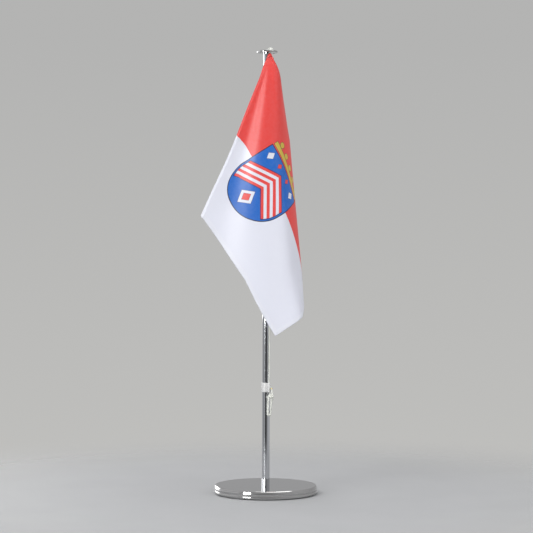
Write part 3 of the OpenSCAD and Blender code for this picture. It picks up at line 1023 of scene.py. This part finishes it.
def floor_material():
    """Plain pale floor that fades into the backdrop away from the stand."""
    made, tree, shader, where = material("pale_floor")
    tone = mix(tree, noise(tree, where, 14, 4), (0.33, 0.335, 0.342), (0.37, 0.375, 0.382))
    x, y, _ = coordinates(tree, where)
    reach = (x * x + y * y).root()
    fade = node(tree, "ShaderNodeMapRange", {0: reach, 1: 0.12, 2: 0.62, 3: 1.0, 4: 0.0},
                interpolation_type="SMOOTHERSTEP").outputs[0]
    set_shader(tree, shader, Base_Color=tone, Roughness=0.65, Alpha=fade)
    return made


def make_floor():
    """A square of floor under the stand."""
    size = 0.65
    corners = [(-size, -size, 0), (size, -size, 0), (size, size, 0), (-size, size, 0)]
    mesh_object("floor", corners, [(0, 1, 2, 3)], floor_material(), smooth=False)


def make_world():
    """A pale grey studio. What the chrome mirrors is darkest behind the camera."""
    world = bpy.data.worlds.new("studio")
    bpy.context.scene.world = world
    world.use_nodes = True
    tree = world.node_tree
    tree.nodes.clear()
    x, y, z = coordinates(tree, node(tree, "ShaderNodeTexCoord").outputs["Generated"])
    azimuth = x.math("ARCTAN2", y * -1.0)           # 0 towards the front, positive to the right
    ramp = node(tree, "ShaderNodeValToRGB", {0: azimuth * (0.5 / math.pi) + 0.5})
    # how bright the room is round the stand, at azimuths in degrees
    stops = [(-180, 0.50), (-150, 0.50), (-130, 0.60), (-105, 0.44), (-62, 0.35), (-50, 0.34),
             (-45, 0.60), (-37, 0.60), (-31, 0.16), (-22, 0.11), (-16, 0.05),
             (10, 0.045), (20, 0.15), (34, 0.34), (70, 0.60), (120, 0.56), (180, 0.50)]
    colour = ramp.color_ramp
    while len(colour.elements) > 1:
        colour.elements.remove(colour.elements[0])
    for number, (degrees, bright) in enumerate(stops):
        place = degrees / 360 + 0.5
        stop = colour.elements[0] if number == 0 else colour.elements.new(place)
        stop.position = place
        stop.color = (bright, bright * 1.01, bright * 1.03, 1)
    # over eye level: a pale wall on the left with a low strip of window, and a plain grey room
    wall = abs(azimuth + math.radians(99)) - math.radians(35)
    strip = (abs(azimuth + math.radians(112)) - math.radians(22)).high(z - 0.135)
    upper = mix(tree, wall.inside(0.05), (0.40, 0.40, 0.405), (0.66, 0.66, 0.68))
    upper = mix(tree, strip.inside(0.015), upper, (1.9, 1.9, 1.95))
    lower = mix(tree, remap(tree, z, 0.02, 0.10, 0.0, 0.6), ramp.outputs[0], (0.34, 0.34, 0.345))
    over_eyes = Value(tree, remap(tree, z, 0.05, 0.09, 0.0, 1.0))
    room = mix(tree, wall.inside(0.05) * over_eyes, lower, upper)
    room = mix(tree, remap(tree, z, 0.35, 0.9, 0.0, 1.0), room, (0.62, 0.62, 0.63))
    # what the camera sees behind the stand
    grey = mix(tree, remap(tree, z, -0.12, 0.14, 0.0, 1.0),
               (0.520, 0.518, 0.505), (0.455, 0.455, 0.450))
    seen = node(tree, "ShaderNodeLightPath").outputs["Is Camera Ray"]
    surface = mix(tree, seen, room, grey)
    back = node(tree, "ShaderNodeBackground", {"Color": surface, "Strength": 1.0})
    output = node(tree, "ShaderNodeOutputWorld")
    tree.links.new(back.outputs[0], output.inputs[0])


AIM = (0, 0, 0.25)                      # the middle of the stand


def area_light(name, place, width, height, power, hidden_from=None):
    """A lamp that faces the stand, without its diffuse or its glossy light if so named."""
    data = bpy.data.lights.new(name, "AREA")
    data.shape = "RECTANGLE"
    data.size, data.size_y = width, height
    data.energy = power
    lamp = bpy.data.objects.new(name, data)
    bpy.context.scene.collection.objects.link(lamp)
    lamp.location = place
    lamp.visible_camera = False
    if hidden_from:
        setattr(lamp, f"visible_{hidden_from}", False)
    way = np.array(AIM, float) - np.array(place, float)
    flat = math.hypot(way[0], way[1])
    lamp.rotation_euler = (math.atan2(flat, -way[2]), 0, math.atan2(way[1], way[0]) - math.pi / 2)


make_floor()
make_world()
WINDOW = (-1.47, -1.65, 0.365)
area_light("window_left", WINDOW, 0.62, 0.51, 22)
area_light("window_left_shine", WINDOW, 0.62, 0.51, 34, "diffuse")
area_light("key_above_left", (-1.3, -1.5, 1.7), 1.2, 1.2, 30, "glossy")
area_light("fill_right", (1.5, -1.2, 0.7), 1.6, 1.6, 22, "glossy")
area_light("window_back_left", (-1.11, 1.78, 0.46), 1.3, 0.7, 13)
area_light("soft_above", (0.4, 0.2, 2.4), 1.8, 1.8, 16)
area_light("ceiling_shine", (0.62, 0.1, 2.4), 1.0, 1.3, 9, "diffuse")
bpy.context.scene.view_settings.view_transform = "Standard"
